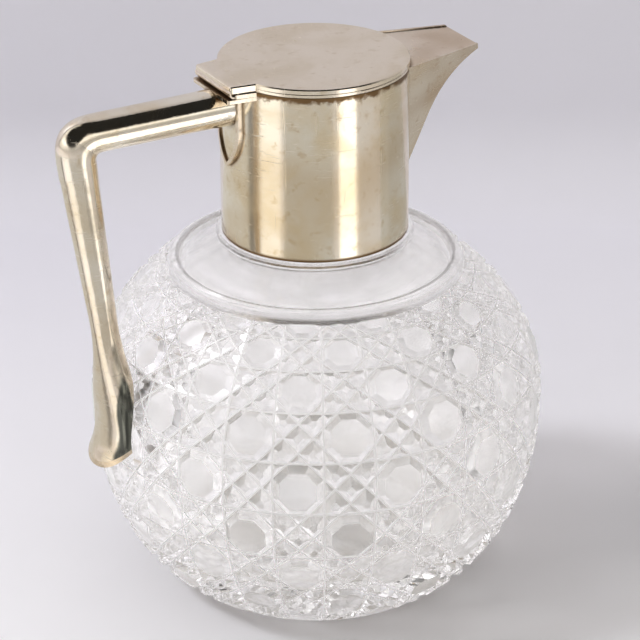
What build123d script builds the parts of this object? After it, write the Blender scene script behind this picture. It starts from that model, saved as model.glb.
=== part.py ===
"""Cut-glass claret jug with a silver collar, spout, angular handle and hinged lid.

Millimetres. The origin is the centre of the flat base on the axis of the body,
+Z is up, +X points along the spout and the handle stands on -X, so the plane
y = 0 divides the jug into two alike halves.
"""
from build123d import *
import math
import os

os.makedirs("parts", exist_ok=True)

# ---------------------------------------------------------------- glass body
BODY_R = 75.0            # over the cut buttons at the widest level
EQUATOR_Z = 66.0         # height of the widest level over the base
UPPER_HALF = 60.0        # half height of the curve above the widest level
UPPER_POWER = 1.9        # its roundness: 2 is an ellipse, more is squarer
LOWER_HALF = 78.9        # the same below, where the base cuts the curve off
LOWER_POWER = 2.36
PATTERN_TOP_R = 50.5     # the cut pattern stops here
GROOVE_R = 48.5          # foot of the turned ring above the pattern
GROOVE_DEPTH = 1.5
RING_TOP_R = 44.8        # upper edge of the turned ring
SHOULDER_RISE = 6.3      # plain shoulder, from the ring up to the neck bead
BEAD_PROUD = 0.6         # short glass bead that shows under the collar, past its wall
BEAD_H = 2.9
GLASS_WALL = 6.0
GLASS_FLOOR = 9.0
CAVITY_POWER = 2.8       # the cavity's floor is flatter than the outside
NECK_WALL = 5.9
NECK_H = 18.0            # neck inside the collar
NECK_CEMENT_T = 1.6      # plaster between the neck and the collar
NECK_CEMENT_DROP = 1.0   # it ends this far under the neck's rim

# ---------------------------------------------------------------- collar
COLLAR_R = 30.4
COLLAR_WALL = 0.9
COLLAR_H = 55.4
MOUTH_RING_W = 1.9       # ring soldered inside the mouth
MOUTH_RING_H = 2.5
SEAM = 0.02              # soldered and cemented joints

# ---------------------------------------------------------------- lid
LID_PROUD = 0.25         # edge of the lid past the wall of the collar
LID_SEAT_GAP = 0.15
LID_PLATE_T = 1.5
LID_RIM_H = 1.25
LID_RIM_W = 2.4
LID_EDGE_BREAK = 0.35
BEZEL_CLEARANCE = 0.35   # lid bezel in the mouth ring
BEZEL_WALL = 0.9
BEZEL_H = 4.6

# ---------------------------------------------------------------- hinge
HINGE_REACH = 3.95       # hinge axis behind the edge of the lid
HINGE_DROP = 2.4         # hinge axis under the top of the lid
TAB_T = 2.2
TAB_ROOT_HALF = 13.3
TAB_BACK_HALF = 11.9
TAB_OVERHANG = 1.4       # tab behind the hinge axis
TAB_CORNER_R = 0.8
TAB_LAP = 2.0            # tab and bracket run this far in under the lid's edge
KNUCKLE_R = 1.6
PIN_R = 1.0
PIN_FIT = 0.04
PIN_RECESS = 0.8         # each end of the pin lies this deep in its knuckle
END_KNUCKLE = 7.2
LID_KNUCKLE = 3.2
MID_KNUCKLE = 2.2
KNUCKLE_GAP = 0.1
SWING_GAP = 0.12         # round the knuckles that turn past a plate
BRACKET_T = 2.6
BRACKET_LIP_T = 1.2
BRACKET_LIP = 2.4        # the lip reaches this far behind the hinge axis

# ---------------------------------------------------------------- spout
SPOUT_REACH = 26.1       # lip of the spout past the wall of the collar
SPOUT_TIP_HALF = 8.1
SPOUT_TIP_LEAN = 1.5     # the lip stands further out than the cover
SPOUT_LIP_H = 2.9        # end opening, from the lip up to the top edge
SPOUT_LEAN = 0.37        # run of the underside outwards for each mm up
SPOUT_FLARE_POWER = 6    # how late the underside turns out into the lip
SPOUT_FOOT_RISE = 8.9    # the underside runs out this far above the collar's foot
SPOUT_ROOT_HALF = 17.3   # at the collar, at the top
SPOUT_FOOT_HALF = 3.6
SPOUT_EDGE_R = 1.6
SPOUT_EDGE_SHARE = 0.6   # the rounding takes at most this share of the front's half width
SPOUT_BACK_IN = 10.1     # the wedge that opens the window starts this far inside the collar
SPOUT_STATIONS = (0.05, 0.3, 0.52, 0.68, 0.8, 0.9, 1.0)   # levels drawn, as shares of the height
SPOUT_WALL = 0.9
COVER_T = 0.8
COVER_RECESS = 0.35
WINDOW_MARGIN = 1.6      # collar metal left around the window into the spout
WINDOW_TOP_DROP = 4.0

# ---------------------------------------------------------------- handle
ARM_DROP = 7.85          # axis of the upper arm under the mouth of the collar
ARM_ROOT_R = 6.45
ARM_MID_R = 6.2
ELBOW_OVERHANG = 9.5     # elbow outside the widest level of the body
ELBOW_R = 6.2
ELBOW_INSIDE_R = 1.5     # round of the elbow's inner corner
ELBOW_POWER = 3          # how square the outer corner is: 2 is a plain quarter turn
WAIST_R = 4.4
WAIST_RISE = 38.0        # waist of the lower arm above the widest level of the body
SOCKET_RISE = 18.0       # plaster fills the socket from here
SOCKET_DROP = 9.25       # lowest point of the foot, under the widest level
SOCKET_SEAT = 2.35       # the socket's axis inside the widest radius
SOCKET_HALF_DEEP = 6.6   # at its middle
SOCKET_HALF_WIDE = 11.9
SOCKET_FOOT_DEEPER = 4.0   # the foot flares out by this much, and sideways
SOCKET_FOOT_WIDER = 2.2
SOCKET_FOOT_TILT = 41.0    # the foot is cut on the slant, up towards the glass
SOCKET_RUNOUT = 3.0        # the sections run on this far before the slanting cut
RING_POINTS = 12         # points on each oval section of the handle
ELBOW_STEPS = 12         # sections round the elbow and along each arm
ARM_STEPS = 10
LOWER_ARM_STEPS = 14
ARM_WALL = 1.1
SOCKET_RIM_GAP = 0.3     # rim of the socket to the glass
CEMENT_GAP = 0.1         # plaster to the glass and to the wall of the socket
END_PLATE_T = 1.0
SHIELD_HALF = 7.2
SHIELD_STRAIGHT = 11.0   # straight sides, from the bracket down
SHIELD_POINT = 14.7      # curved sides, down to the point
SHIELD_BELLY = (0.74, 0.62)   # the curve's middle, as shares of the half width and of the drop
SHIELD_T = 0.8
SHIELD_WIRE_W = 1.4
SHIELD_WIRE_H = 1.5

# ---------------------------------------------------------------- derived
FAR = 400.0


def body_radius(z):
    """Radius of the cut body's envelope at a height."""
    rise = z - EQUATOR_Z
    half = UPPER_HALF if rise > 0 else LOWER_HALF
    power = UPPER_POWER if rise > 0 else LOWER_POWER
    return BODY_R * (1 - (abs(rise) / half) ** power) ** (1 / power)


def shoulder_height(r):
    """Height of the envelope above the widest level at a radius."""
    return EQUATOR_Z + UPPER_HALF * (1 - (r / BODY_R) ** UPPER_POWER) ** (1 / UPPER_POWER)


def cavity_height(r, half, power):
    """Height over or under the widest level of the cavity wall at a radius."""
    return half * (1 - (r / (BODY_R - GLASS_WALL)) ** power) ** (1 / power)


mouth_ring_r = COLLAR_R - COLLAR_WALL
neck_r = mouth_ring_r - NECK_CEMENT_T
neck_bore_r = neck_r - NECK_WALL
bead_r = COLLAR_R + BEAD_PROUD
lid_r = COLLAR_R + LID_PROUD
bead_z = shoulder_height(RING_TOP_R) + SHOULDER_RISE
collar_z = bead_z + BEAD_H
mouth_z = collar_z + COLLAR_H
neck_top_z = collar_z + NECK_H
lid_rim_z = mouth_z + LID_SEAT_GAP
lid_plate_z = lid_rim_z + LID_RIM_H
lid_top_z = lid_plate_z + LID_PLATE_T
hinge_x = -(lid_r + HINGE_REACH)
hinge_z = lid_top_z - HINGE_DROP
bracket_z = mouth_z - BRACKET_T
bezel_r = mouth_ring_r - MOUTH_RING_W - BEZEL_CLEARANCE
arm_z = mouth_z - ARM_DROP
elbow_x = -(BODY_R + ELBOW_OVERHANG)
socket_x = -(BODY_R - SOCKET_SEAT)
waist_z = EQUATOR_Z + WAIST_RISE
socket_top_z = EQUATOR_Z + SOCKET_RISE
socket_bottom_z = EQUATOR_Z - SOCKET_DROP
socket_mid_z = (socket_top_z + socket_bottom_z) / 2
spout_tip_x = COLLAR_R + SPOUT_REACH
spout_back_x = COLLAR_R - SPOUT_BACK_IN
spout_foot_drop = COLLAR_H - SPOUT_FOOT_RISE
barrel_half = END_KNUCKLE + LID_KNUCKLE + MID_KNUCKLE / 2 + 2 * KNUCKLE_GAP


def tube(outer, inner, z0, z1):
    """Upright ring between two radii and two heights."""
    ring = Cylinder(outer, z1 - z0) - Cylinder(inner, z1 - z0)
    return Pos(0, 0, (z0 + z1) / 2) * ring


def disc(r, z0, z1):
    """Upright cylinder between two heights."""
    return Pos(0, 0, (z0 + z1) / 2) * Cylinder(r, z1 - z0)


def block(x0, x1, y0, y1, z0, z1):
    """Box between two corners."""
    centre = Pos((x0 + x1) / 2, (y0 + y1) / 2, (z0 + z1) / 2)
    return centre * Box(x1 - x0, y1 - y0, z1 - z0)


def along_hinge(r, y0, y1):
    """Cylinder on the hinge axis between two places along it."""
    return Pos(hinge_x, (y0 + y1) / 2, hinge_z) * Rot(90, 0, 0) * Cylinder(r, y1 - y0)


def revolved(outline):
    """Turn a closed outline, drawn in radius and height, about the axis."""
    return revolve(Plane.XZ * make_face(outline), Axis.Z)


# ---------------------------------------------------------------- glass
def envelope_curve(r_gap=0.0):
    """The body's envelope from the base up to the end of the pattern."""
    top = shoulder_height(PATTERN_TOP_R)
    steps = 12
    heights = [top * i / steps for i in range(steps + 1)]
    return Spline([(body_radius(z) + r_gap, z) for z in heights])


def glass_outline():
    """Half section of the glass: envelope, ring, shoulder, neck, bore, cavity."""
    outside = envelope_curve()
    pattern_top = outside @ 1
    groove = (GROOVE_R, shoulder_height(GROOVE_R) - GROOVE_DEPTH)
    ring_top = (RING_TOP_R, shoulder_height(RING_TOP_R))
    bead_foot = (bead_r, bead_z)
    bead_top = (bead_r, collar_z - SEAM)
    neck_foot = (neck_r, collar_z - SEAM)
    neck_rim = (neck_r, neck_top_z)
    bore_rim = (neck_bore_r, neck_top_z)
    cavity_half_up = UPPER_HALF - GLASS_WALL
    cavity_half_down = EQUATOR_Z - GLASS_FLOOR
    bore_foot_z = EQUATOR_Z + cavity_height(neck_bore_r, cavity_half_up, UPPER_POWER)
    cavity_r = BODY_R - GLASS_WALL
    steps = 6
    turns = [math.pi / 2 * i / steps for i in range(steps + 1)]
    lower = []
    for turn in turns:
        r = cavity_r * math.sin(turn)
        lower.append((r, EQUATOR_Z - cavity_height(r, cavity_half_down, CAVITY_POWER)))
    bore_turn = math.asin(neck_bore_r / cavity_r)
    upper = []
    for i in range(steps + 1):
        r = cavity_r * math.sin(math.pi / 2 + (bore_turn - math.pi / 2) * i / steps)
        upper.append((r, EQUATOR_Z + cavity_height(r, cavity_half_up, UPPER_POWER)))
    return [
        Line((0, 0), outside @ 0),
        outside,
        Polyline(pattern_top, groove, ring_top, bead_foot, bead_top, neck_foot, neck_rim,
                 bore_rim, (neck_bore_r, bore_foot_z)),
        Spline(upper[::-1], tangents=[(0.6, -1), (0, -1)]),
        Spline(lower[::-1], tangents=[(0, -1), (-1, 0)]),
        Line((0, GLASS_FLOOR), (0, 0)),
    ]


def glass_body():
    return revolved(glass_outline())


def glass_envelope(gap):
    """Solid body of the glass up to the pattern's end, grown by a gap."""
    side = envelope_curve(gap)
    top = side @ 1
    return revolved([Line((0, 0), side @ 0), side, Polyline(top, (0, top.Y), (0, 0))])


def neck_cement():
    """Plaster that holds the collar on the neck."""
    return tube(mouth_ring_r - SEAM, neck_r + SEAM, collar_z + SEAM, neck_top_z - NECK_CEMENT_DROP)


# ---------------------------------------------------------------- collar
def collar_tube():
    shell = tube(COLLAR_R, mouth_ring_r, collar_z, mouth_z)
    window = spout_block(SPOUT_WALL + WINDOW_MARGIN)
    window &= block(0, FAR, -FAR, FAR, neck_top_z, mouth_z - WINDOW_TOP_DROP)
    return shell - window


def collar_mouth_ring():
    outer = mouth_ring_r - SEAM
    return tube(outer, mouth_ring_r - MOUTH_RING_W, mouth_z - MOUTH_RING_H, mouth_z)


# ---------------------------------------------------------------- spout
def spout_section(z, inset):
    """Level section of the spout: a trapezium that widens towards the collar."""
    foot_z = mouth_z - spout_foot_drop
    height = spout_foot_drop - SPOUT_LIP_H
    share = (z - foot_z) / height
    flare = spout_tip_x - COLLAR_R - SPOUT_LEAN * height
    front_x = COLLAR_R + SPOUT_LEAN * share * height + flare * share ** SPOUT_FLARE_POWER
    run = SPOUT_LEAN + flare * SPOUT_FLARE_POWER * share ** (SPOUT_FLARE_POWER - 1) / height
    front_half = SPOUT_FOOT_HALF + (SPOUT_TIP_HALF - SPOUT_FOOT_HALF) * share
    root_half = SPOUT_FOOT_HALF + (SPOUT_ROOT_HALF - SPOUT_FOOT_HALF) * share
    root_x = math.sqrt(COLLAR_R ** 2 - root_half ** 2)
    slope = (root_half - front_half) / (front_x - root_x)
    back_half = root_half + slope * (root_x - spout_back_x)
    side_in = inset * math.hypot(1, slope)
    front_in = inset * math.hypot(1, run)
    front_half += slope * front_in - side_in
    front_x -= front_in
    back_half -= side_in
    near = [(spout_back_x, back_half), (front_x, front_half)]
    far = [(front_x, -front_half), (spout_back_x, -back_half)]
    outline = make_face(Polyline(near + far, close=True))
    front_corners = outline.vertices().sort_by(Axis.X)[-2:]
    return Pos(0, 0, z) * fillet(front_corners, min(SPOUT_EDGE_R, SPOUT_EDGE_SHARE * front_half))


def spout_block(inset):
    """Closed wedge of the spout, reaching into the collar, drawn in by an inset."""
    low = mouth_z - spout_foot_drop
    high = mouth_z + SPOUT_LIP_H
    return loft([spout_section(low + (high - low) * share, inset) for share in SPOUT_STATIONS])


def spout_end_cut(setback):
    """Everything in front of the leaning end face, a setback behind it."""
    lip = (spout_tip_x - setback, mouth_z - SPOUT_LIP_H)
    top_x = lip[0] - 2 * SPOUT_TIP_LEAN
    side = Polyline(lip, (top_x, lip[1] + 2 * SPOUT_LIP_H), (FAR, lip[1] + 2 * SPOUT_LIP_H),
                    (FAR, lip[1]), close=True)
    return extrude(Plane.XZ * make_face(side), FAR, both=True)


def spout_body():
    """Folded sheet: two sides and the curved front, open at the top and the end."""
    shell = spout_block(0) - spout_block(SPOUT_WALL)
    shell &= block(0, FAR, -FAR, FAR, 0, mouth_z)
    shell -= disc(COLLAR_R + SEAM, 0, FAR)
    shell -= spout_end_cut(0)
    return shell.solids().sort_by(SortBy.VOLUME)[-1]


def spout_cover():
    """Plate let in between the sides of the spout."""
    high = mouth_z - COVER_RECESS
    plate = spout_block(SPOUT_WALL + SEAM) & block(0, FAR, -FAR, FAR, high - COVER_T, high)
    plate -= disc(COLLAR_R + SEAM, 0, FAR)
    plate -= spout_end_cut(0)
    return plate


# ---------------------------------------------------------------- hinge
def tab_outline(root_half, back_half, back_x):
    """Plan of the plate that joins the lid, or the collar, to the hinge."""
    root_x = -lid_r * math.cos(math.asin(TAB_ROOT_HALF / lid_r))
    front_x = root_x + TAB_LAP
    corners = [(front_x, root_half), (back_x, back_half), (back_x, -back_half), (front_x, -root_half)]
    outline = make_face(Polyline(corners, close=True))
    return fillet(outline.vertices().sort_by(Axis.X)[:2], TAB_CORNER_R)


def knuckle_spans():
    """Places along the hinge: the lid's knuckles, then the collar's."""
    lid_in = MID_KNUCKLE / 2 + KNUCKLE_GAP
    lid_out = lid_in + LID_KNUCKLE
    end_in = lid_out + KNUCKLE_GAP
    lid_spans = [(-lid_out, -lid_in), (lid_in, lid_out)]
    collar_spans = [(-barrel_half, -end_in), (-MID_KNUCKLE / 2, MID_KNUCKLE / 2), (end_in, barrel_half)]
    return lid_spans, collar_spans


def knuckles(spans):
    """Tubes on the hinge axis, one for each span."""
    bore = along_hinge(PIN_R + PIN_FIT, -FAR, FAR)
    return Compound([along_hinge(KNUCKLE_R, y0, y1) - bore for y0, y1 in spans])


def hinge_grooves(own_spans):
    """Cutters: a close seat for a plate's own knuckles, swinging room for the rest."""
    cutter = along_hinge(KNUCKLE_R + SWING_GAP, -barrel_half - KNUCKLE_GAP, barrel_half + KNUCKLE_GAP)
    for y0, y1 in own_spans:
        cutter -= along_hinge(KNUCKLE_R + SWING_GAP, y0, y1)
        cutter += along_hinge(KNUCKLE_R + SEAM, y0, y1)
    return cutter


def hinge_bracket():
    """Plate on the collar that carries the outer and middle knuckles, and its lip."""
    outline = tab_outline(TAB_ROOT_HALF, TAB_BACK_HALF, hinge_x)
    plate = extrude(Pos(0, 0, bracket_z) * outline, BRACKET_T)
    lip_outline = tab_outline(TAB_ROOT_HALF, TAB_BACK_HALF, hinge_x - BRACKET_LIP)
    plate += extrude(Pos(0, 0, bracket_z) * lip_outline, BRACKET_LIP_T)
    plate -= disc(COLLAR_R + SEAM, 0, FAR)
    return plate - hinge_grooves(knuckle_spans()[1])


def hinge_pin():
    half = barrel_half - PIN_RECESS
    return along_hinge(PIN_R, -half, half)


# ---------------------------------------------------------------- lid
def lid_plate():
    """Flat disc and hinge tab in one piece."""
    round_plate = disc(lid_r, lid_plate_z, lid_top_z)
    outline = tab_outline(TAB_ROOT_HALF, TAB_BACK_HALF, hinge_x - TAB_OVERHANG)
    tab = extrude(Pos(0, 0, lid_top_z - TAB_T) * outline, TAB_T)
    tab -= disc(lid_r + SEAM, 0, lid_plate_z)
    plate = round_plate + tab
    top_edges = plate.faces().sort_by(Axis.Z)[-1].edges()
    plate = chamfer(top_edges, LID_EDGE_BREAK)
    return plate - hinge_grooves(knuckle_spans()[0])


def lid_rim():
    """Half-round wire under the edge of the plate."""
    ring = tube(lid_r, lid_r - LID_RIM_W, lid_rim_z, lid_plate_z)
    outer_edges = ring.edges().filter_by(GeomType.CIRCLE).group_by(SortBy.RADIUS)[-1]
    return fillet(outer_edges, LID_EDGE_BREAK)


def lid_bezel():
    """Short tube under the lid that finds the mouth of the collar."""
    return tube(bezel_r, bezel_r - BEZEL_WALL, lid_plate_z - BEZEL_H, lid_plate_z)


# ---------------------------------------------------------------- handle
def ring(x, z, turn, half_in, half_side):
    """Oval section of the handle; its plane stands upright at turn 0 and lies flat at 90 degrees."""
    points = []
    for i in range(RING_POINTS):
        angle = 2 * math.pi * i / RING_POINTS
        across = half_in * math.cos(angle)
        side = half_side * math.sin(angle)
        points.append((x - across * math.sin(turn), side, z + across * math.cos(turn)))
    return make_face(Spline(points, periodic=True))


def lower_axis_x(z):
    """The lower arm's axis leans in, from the elbow to the middle of the socket."""
    return elbow_x + (socket_x - elbow_x) * (arm_z - z) / (arm_z - socket_mid_z)


def elbow_rings(first, last, wall):
    """Sections that fan round a pivot under the elbow, on to the lean of the lower arm."""
    lean = math.atan2(socket_x - elbow_x, arm_z - socket_mid_z)
    straight = ELBOW_INSIDE_R + 2 * ELBOW_R
    fan = []
    for i in range(ELBOW_STEPS + 1):
        quarter = math.pi / 2 * i / ELBOW_STEPS
        squared = math.sin(quarter) ** ELBOW_POWER + math.cos(quarter) ** ELBOW_POWER
        outside = straight / squared ** (1 / ELBOW_POWER)
        turn = quarter + lean * i / ELBOW_STEPS
        fan.append((turn, (ELBOW_INSIDE_R + outside) / 2, outside))
    pivot_z = arm_z - ELBOW_R - ELBOW_INSIDE_R
    end_z = pivot_z - fan[-1][1] * math.sin(lean)
    pivot_x = lower_axis_x(end_z) + fan[-1][1] * math.cos(lean)
    rings = []
    for turn, middle, outside in fan[first:last + 1]:
        x = pivot_x - middle * math.sin(turn)
        z = pivot_z + middle * math.cos(turn)
        rings.append(ring(x, z, turn, outside - middle - wall, ELBOW_R - wall))
    return rings, pivot_x, end_z


def upper_arm_solid(wall):
    """Upper arm from the collar to the mitre through the elbow, drawn in by a wall."""
    fan, pivot_x, end_z = elbow_rings(0, ELBOW_STEPS // 2, wall)
    rings = []
    for i in range(ARM_STEPS):
        share = i / ARM_STEPS
        end_r = ARM_ROOT_R if share < 0.5 else ELBOW_R
        r = ARM_MID_R + (end_r - ARM_MID_R) * (2 * share - 1) ** 2
        rings.append(ring(-COLLAR_R + (pivot_x + COLLAR_R) * share, arm_z, 0, r - wall, r - wall))
    return loft(rings + fan)


def lower_arm_size(z):
    """Half depth and half width of the lower arm: a tapered tube, then a socket."""
    if z > waist_z:
        r = WAIST_R + (ELBOW_R - WAIST_R) * (z - waist_z) / (arm_z - ELBOW_R - ELBOW_INSIDE_R - waist_z)
        return r, r
    share = math.sin(math.pi / 2 * min(1, (waist_z - z) / (waist_z - socket_mid_z))) ** 2
    foot = max(0, (socket_mid_z - z) / (socket_mid_z - socket_bottom_z))
    deep = WAIST_R + share * (SOCKET_HALF_DEEP - WAIST_R) + foot * SOCKET_FOOT_DEEPER
    wide = WAIST_R + share * (SOCKET_HALF_WIDE - WAIST_R) + foot * SOCKET_FOOT_WIDER
    return deep, wide


def lower_arm_solid(wall):
    """Lower arm from the mitre to the foot of the socket, drawn in by a wall."""
    fan, pivot_x, end_z = elbow_rings(ELBOW_STEPS // 2, ELBOW_STEPS, wall)
    rings = []
    for i in range(1, LOWER_ARM_STEPS + 1):
        z = end_z + (socket_bottom_z - SOCKET_RUNOUT - end_z) * i / LOWER_ARM_STEPS
        deep, wide = lower_arm_size(z)
        rings.append(ring(lower_axis_x(z), z, math.pi / 2, deep - wall, wide - wall))
    return loft(fan + rings)


def above_foot(lift):
    """Everything above the socket's slanting foot, raised square to it by a lift."""
    foot_x = lower_axis_x(socket_bottom_z) - SOCKET_HALF_DEEP - SOCKET_FOOT_DEEPER
    slope = math.tan(math.radians(SOCKET_FOOT_TILT))
    low = socket_bottom_z + lift * math.hypot(1, slope)
    far_x = 2 * foot_x
    side = Polyline((far_x, low + (far_x - foot_x) * slope), (0, low - foot_x * slope), (0, FAR),
                    (far_x, FAR), close=True)
    return extrude(Plane.XZ * make_face(side), FAR, both=True)


def upper_arm():
    """Tube that is scribed to the shield's plate and filed flat under the bracket."""
    arm = upper_arm_solid(0) - upper_arm_solid(ARM_WALL)
    arm -= block(hinge_x - BRACKET_LIP - SEAM, 0, -FAR, FAR, bracket_z - SEAM, FAR)
    return arm - disc(COLLAR_R + SHIELD_T + 2 * SEAM, 0, FAR)


def lower_arm():
    """Tube with an open socket that is cut to lie on the glass."""
    arm = lower_arm_solid(0) - lower_arm_solid(ARM_WALL) - glass_envelope(SOCKET_RIM_GAP)
    return arm & above_foot(END_PLATE_T + SEAM)


def socket_cement():
    """Plaster that fills the socket and holds it on the glass."""
    fill = lower_arm_solid(ARM_WALL + CEMENT_GAP)
    fill &= above_foot(END_PLATE_T + 2 * SEAM) & block(-FAR, 0, -FAR, FAR, 0, socket_top_z)
    return fill - glass_envelope(CEMENT_GAP)


def socket_end_plate():
    """Plate that closes the foot of the socket."""
    plate = (lower_arm_solid(0) & above_foot(0)) - above_foot(END_PLATE_T)
    return plate - glass_envelope(SOCKET_RIM_GAP)


def shield_outline(inset):
    """Shield with straight sides and a pointed foot, as seen along the arm."""
    half = SHIELD_HALF - inset
    high = bracket_z - SEAM - inset
    knee = bracket_z - SHIELD_STRAIGHT
    point = knee - SHIELD_POINT + inset
    belly = (half * SHIELD_BELLY[0], knee + (point - knee) * SHIELD_BELLY[1])
    sides = [
        Polyline((-half, knee), (-half, high), (half, high), (half, knee)),
        ThreePointArc((half, knee), belly, (0, point)),
        ThreePointArc((0, point), (-belly[0], belly[1]), (-half, knee)),
    ]
    face = Plane(origin=(0, 0, 0), x_dir=(0, 1, 0), z_dir=(1, 0, 0)) * make_face(sides)
    return extrude(face, -FAR / 4)


def shield_plate():
    """Thin plate on the collar under the root of the upper arm."""
    skin = tube(COLLAR_R + SEAM + SHIELD_T, COLLAR_R + SEAM, 0, mouth_z)
    return skin & shield_outline(SHIELD_WIRE_W + SEAM)


def shield_wire():
    """Raised bead round the shield."""
    skin = tube(COLLAR_R + SEAM + SHIELD_WIRE_H, COLLAR_R + SEAM, 0, mouth_z)
    border = skin & (shield_outline(0) - shield_outline(SHIELD_WIRE_W))
    return border - upper_arm_solid(-SEAM)


# ---------------------------------------------------------------- write out
lid_spans, collar_spans = knuckle_spans()
nodes = {
    "glass_body": glass_body(),
    "neck_cement": neck_cement(),
    "collar_tube": collar_tube(),
    "collar_mouth_ring": collar_mouth_ring(),
    "spout_body": spout_body(),
    "spout_cover": spout_cover(),
    "hinge_bracket": hinge_bracket(),
    "collar_knuckles": knuckles(collar_spans),
    "hinge_pin": hinge_pin(),
    "lid_plate": lid_plate(),
    "lid_rim": lid_rim(),
    "lid_bezel": lid_bezel(),
    "lid_knuckles": knuckles(lid_spans),
    "handle_upper_arm": upper_arm(),
    "handle_lower_arm": lower_arm(),
    "socket_cement": socket_cement(),
    "socket_end_plate": socket_end_plate(),
    "shield_plate": shield_plate(),
    "shield_wire": shield_wire(),
}
for name, shape in nodes.items():
    export_step(shape, f"parts/{name}.step")
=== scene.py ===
"""Looks of the cut-glass claret jug: glass, silver, plaster, floor, light and camera.

Metres, in the part's frame: +Z up, +X along the spout, the handle on -X.
"""
import math

import bmesh
import bpy
from mathutils import Matrix, Vector


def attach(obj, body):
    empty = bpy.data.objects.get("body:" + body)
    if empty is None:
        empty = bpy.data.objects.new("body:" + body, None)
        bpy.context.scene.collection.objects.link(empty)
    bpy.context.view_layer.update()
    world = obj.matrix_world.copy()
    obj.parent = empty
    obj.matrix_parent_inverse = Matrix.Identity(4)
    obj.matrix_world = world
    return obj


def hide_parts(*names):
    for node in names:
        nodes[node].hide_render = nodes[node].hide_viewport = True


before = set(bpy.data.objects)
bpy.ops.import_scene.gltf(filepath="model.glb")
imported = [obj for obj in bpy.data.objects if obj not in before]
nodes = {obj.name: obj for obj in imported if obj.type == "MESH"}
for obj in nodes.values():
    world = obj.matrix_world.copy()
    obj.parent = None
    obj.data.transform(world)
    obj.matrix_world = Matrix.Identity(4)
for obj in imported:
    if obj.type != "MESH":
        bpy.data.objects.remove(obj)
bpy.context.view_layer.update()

MM = 0.001

# ---------------------------------------------------------------- photograph's view
# The photograph's own frame has the same origin, x to the right and y away from the camera.
VIEW_AZIMUTH = math.radians(-29.0)
CAMERA_AT = (0.0000, -0.8407, 0.4944)
CAMERA_YAW = math.radians(0.094)
CAMERA_PITCH = math.radians(25.843)
CAMERA_ROLL = math.radians(-0.455)
CAMERA_NEAR = 0.05
CAMERA_FAR = 20.0
FOCAL_PIXELS = 2821.0
PICTURE_PIXELS = 640.0
SENSOR_MM = 36.0


def from_view(x, y, z):
    """Point of the photograph's frame in the part's frame."""
    c = math.cos(VIEW_AZIMUTH)
    s = math.sin(VIEW_AZIMUTH)
    return Vector((x * c - y * s, x * s + y * c, z))


def new_object(name, data):
    """Object made of a mesh, a lamp or a camera, linked into the scene."""
    made = bpy.data.objects.new(name, data)
    bpy.context.scene.collection.objects.link(made)
    return made


def colour(r, g, b):
    """Opaque colour."""
    return (r, g, b, 1.0)


# ---------------------------------------------------------------- glass: sizes in millimetres
BODY_R = 75.0
EQUATOR_Z = 66.0
UPPER_HALF = 60.0
UPPER_POWER = 1.9
LOWER_HALF = 78.9
LOWER_POWER = 2.36
WALL = 6.0
CAVITY_FLOOR_Z = 9.0
CAVITY_POWER = 2.8
CAVITY_UPPER_STEPS = 22
CAVITY_LOWER_STEPS = 24

# The cutting: buttons and diamonds on a chequered grid of columns and rows.
COLUMNS = 28
COLUMN_STEP = 2 * math.pi / COLUMNS
COLUMN_START = math.radians(-123.7)
ROW_HEIGHTS = {-1: 103.4, 0: 94.3, 1: 81.1, 2: 63.8, 3: 45.2, 4: 29.2, 5: 15.6, 6: 6.0}
ROWS_SOUGHT = (-3.0, 7.5)          # row numbers over and under everything that is cut
ROW_HALVINGS = 50
TOP_ROW_SHRINK = 0.84              # the step up from the highest row measured, as a share of the one below
TOP_ROW_BEND = 1.35                # and how fast the steps shorten above it
FOOT_ROW_SHRINK = 0.8              # the steps down from the lowest row, as a share of the one above
PATTERN_TOP_Z = 109.6
PATTERN_FOOT_Z = 2.0
CUT_DEPTH = 0.105                  # of a groove, as a share of the columns' step there
CUT_HALF = 0.14                    # half width of a groove
CUT_FLOOR = 0.017                  # half width of its flat bottom
OCTAGON = math.sqrt(0.5)           # a button's slanted sides, from its centre
DIAMOND = 1 - math.sqrt(0.5)       # the small diamonds between the buttons
HALF_SITE = 0.5                    # a button or a diamond has a square of one column by one row
SIDES = ((1, 0), (-1, 0), (0, 1), (0, -1))
CORNERS = ((1, 1), (1, -1), (-1, 1), (-1, -1))
TINY = 1e-9                        # a point this close to a line is on it
CLOSE = 1e-6                       # and places this close are the same one

# Above the cutting: a groove, a round ring, a step down to the plain shoulder, a bead and the neck.
GROOVE_R = 48.5
GROOVE_DEPTH = 1.5
GROOVE_LIP = (0.6, 0.1)            # its outer edge, out and up from its bottom
RING_TOP_R = 44.8
RING_BULGE = 1.7
RING_ROUND = 0.8                   # under 1 the ring is fuller than a sine
RING_STEPS = 8
STEP_DEPTH = 1.5                   # the plain shoulder starts this far under the ring's inner edge
STEP_IN = 0.15                     # the step's foot, in from its edge
STEP_FOOT = 0.8                    # and down, as a share of its depth
SHOULDER_DIP = 0.5                 # how much the shoulder sags between the ring and the bead
SHOULDER_STEPS = 10
BEAD_R = 31.0
BEAD_RISE = 6.3                    # of the bead's foot over the ring
BEAD_FOOT = (0.5, 0.0)             # the bead's outline: out from its radius and up from its foot
BEAD_LOWER = ((0.7, 0.3), (1.2, 0.9), (1.3, 1.6))
COLLAR_RISE = 2.9                  # of the collar's foot over the bead's
BEAD_UPPER = ((1.0, -0.7), (0.3, -0.2), (-0.6, -0.05))   # and up from the collar's foot
COLLAR_GAP = 0.05
NECK_R = 27.9
NECK_HEIGHT = 18.0
NECK_EDGE = 0.5
BORE_R = 22.0

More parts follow.
